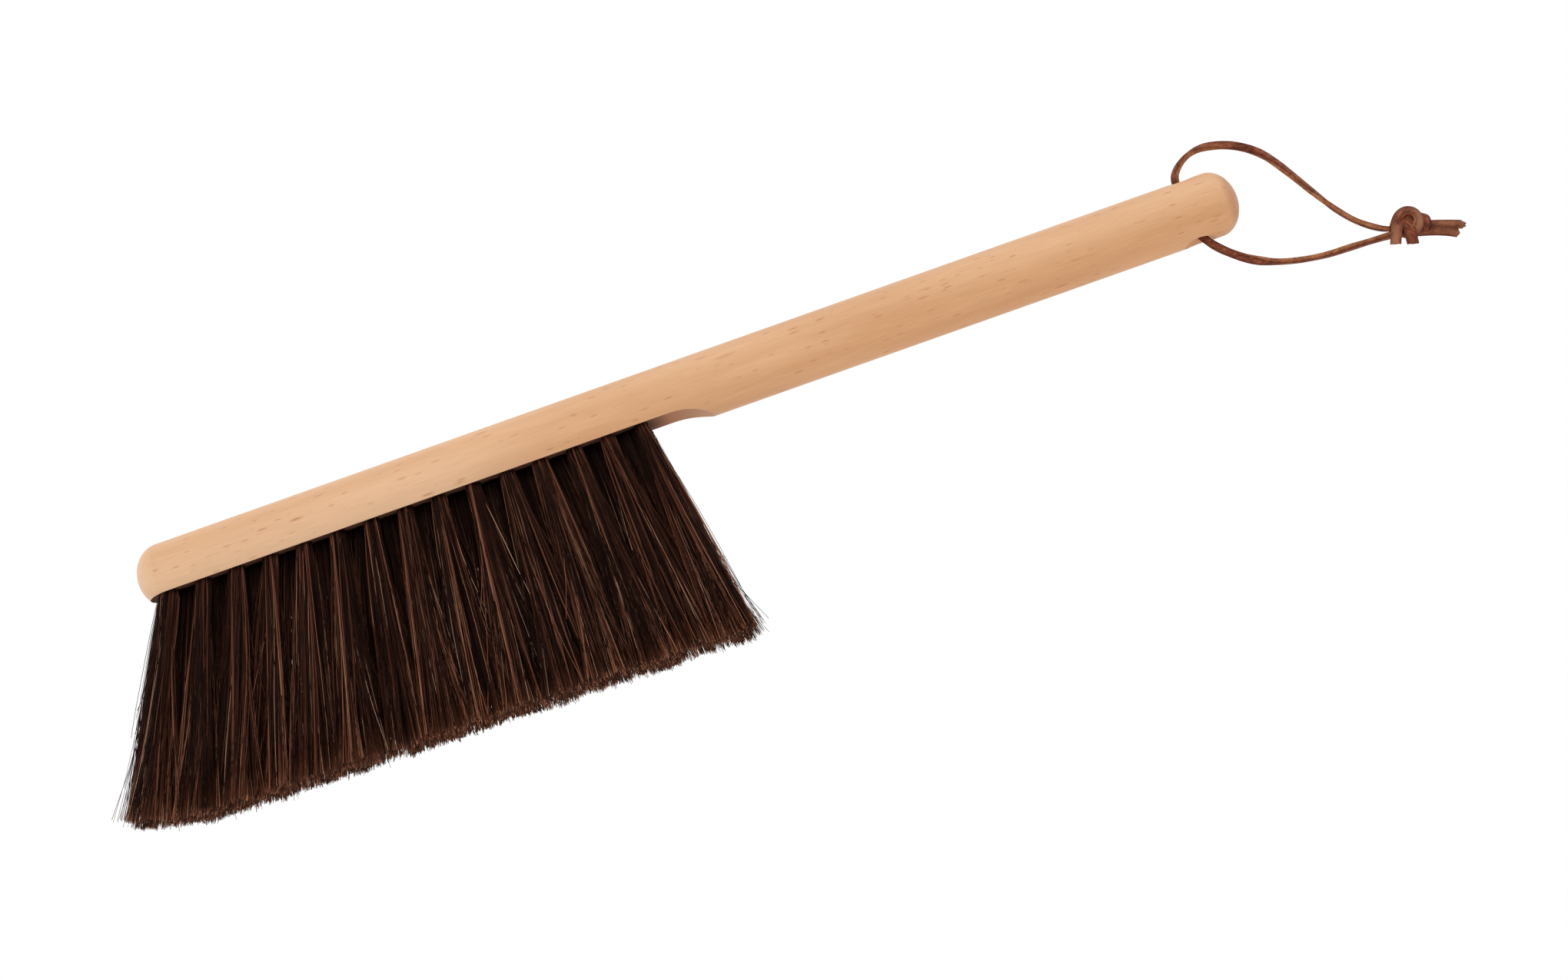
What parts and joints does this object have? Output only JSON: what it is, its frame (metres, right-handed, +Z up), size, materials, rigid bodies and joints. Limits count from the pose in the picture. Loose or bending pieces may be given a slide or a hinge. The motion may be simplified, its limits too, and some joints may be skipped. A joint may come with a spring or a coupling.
{
  "type": "bee brush",
  "caption": "Straight round-handled bee brush with rows of long soft hair tufts fanned out on one side and a knotted leather lace for hanging.",
  "frame": {"origin": "on the handle's axis, at the middle of the grip, 325 mm from the nose of the handle", "axes": "+X along the handle towards the hanging lace, +Z up, with the bristles pointing to -Z"},
  "size_m": [0.5487, 0.0318, 0.1192],
  "materials": {
    "beech": "oiled, satin",
    "horsehair": "natural dark brown hair, slight sheen",
    "staple_wire": "bright drawn wire",
    "lace_leather": "waxed, cut edges"
  },
  "bodies": {
    "handle": {"handle": "beech", "tuft_roots_front": "horsehair", "tuft_roots_middle": "horsehair", "tuft_roots_back": "horsehair", "staples_front": "staple_wire", "staples_middle": "staple_wire", "staples_back": "staple_wire"},
    "bristles_middle": {"tuft_middle_01": "horsehair", "tuft_middle_02": "horsehair", "tuft_middle_03": "horsehair", "tuft_middle_04": "horsehair", "tuft_middle_05": "horsehair", "tuft_middle_06": "horsehair", "tuft_middle_07": "horsehair", "tuft_middle_08": "horsehair", "tuft_middle_09": "horsehair", "tuft_middle_10": "horsehair", "tuft_middle_11": "horsehair", "tuft_middle_12": "horsehair", "tuft_middle_13": "horsehair", "tuft_middle_14": "horsehair"},
    "bristles_front": {"tuft_front_01": "horsehair", "tuft_front_02": "horsehair", "tuft_front_03": "horsehair", "tuft_front_04": "horsehair", "tuft_front_05": "horsehair", "tuft_front_06": "horsehair", "tuft_front_07": "horsehair", "tuft_front_08": "horsehair", "tuft_front_09": "horsehair", "tuft_front_10": "horsehair", "tuft_front_11": "horsehair", "tuft_front_12": "horsehair", "tuft_front_13": "horsehair", "tuft_front_14": "horsehair", "tuft_front_15": "horsehair"},
    "bristles_back": {"tuft_back_01": "horsehair", "tuft_back_02": "horsehair", "tuft_back_03": "horsehair", "tuft_back_04": "horsehair", "tuft_back_05": "horsehair", "tuft_back_06": "horsehair", "tuft_back_07": "horsehair", "tuft_back_08": "horsehair", "tuft_back_09": "horsehair", "tuft_back_10": "horsehair", "tuft_back_11": "horsehair", "tuft_back_12": "horsehair", "tuft_back_13": "horsehair", "tuft_back_14": "horsehair", "tuft_back_15": "horsehair"},
    "lace": {"hanging_lace": "lace_leather", "tie_lace": "lace_leather"}
  },
  "joints": [
    {"name": "middle_row_flex", "type": "hinge", "parent": "handle", "child": "bristles_middle", "pos_m": [-0.22, 0, -0.01085], "axis": [1, 0, 0], "range_deg": [-25, 25], "stiffness_Nm_per_rad": 0.2},
    {"name": "front_row_flex", "type": "hinge", "parent": "handle", "child": "bristles_front", "pos_m": [-0.22, -0.00615, -0.01085], "axis": [1, 0, 0], "range_deg": [-25, 25], "stiffness_Nm_per_rad": 0.2},
    {"name": "back_row_flex", "type": "hinge", "parent": "handle", "child": "bristles_back", "pos_m": [-0.22, 0.00615, -0.01085], "axis": [1, 0, 0], "range_deg": [-25, 25], "stiffness_Nm_per_rad": 0.2},
    {"name": "lace_swing", "type": "hinge", "parent": "handle", "child": "lace", "pos_m": [0.096, 0, 0], "axis": [0, 0, 1], "range_deg": [-150, 150]}
  ],
  "couplings": [
    {"joint": "front_row_flex", "follows": "middle_row_flex", "ratio": 1},
    {"joint": "back_row_flex", "follows": "middle_row_flex", "ratio": 1}
  ]
}
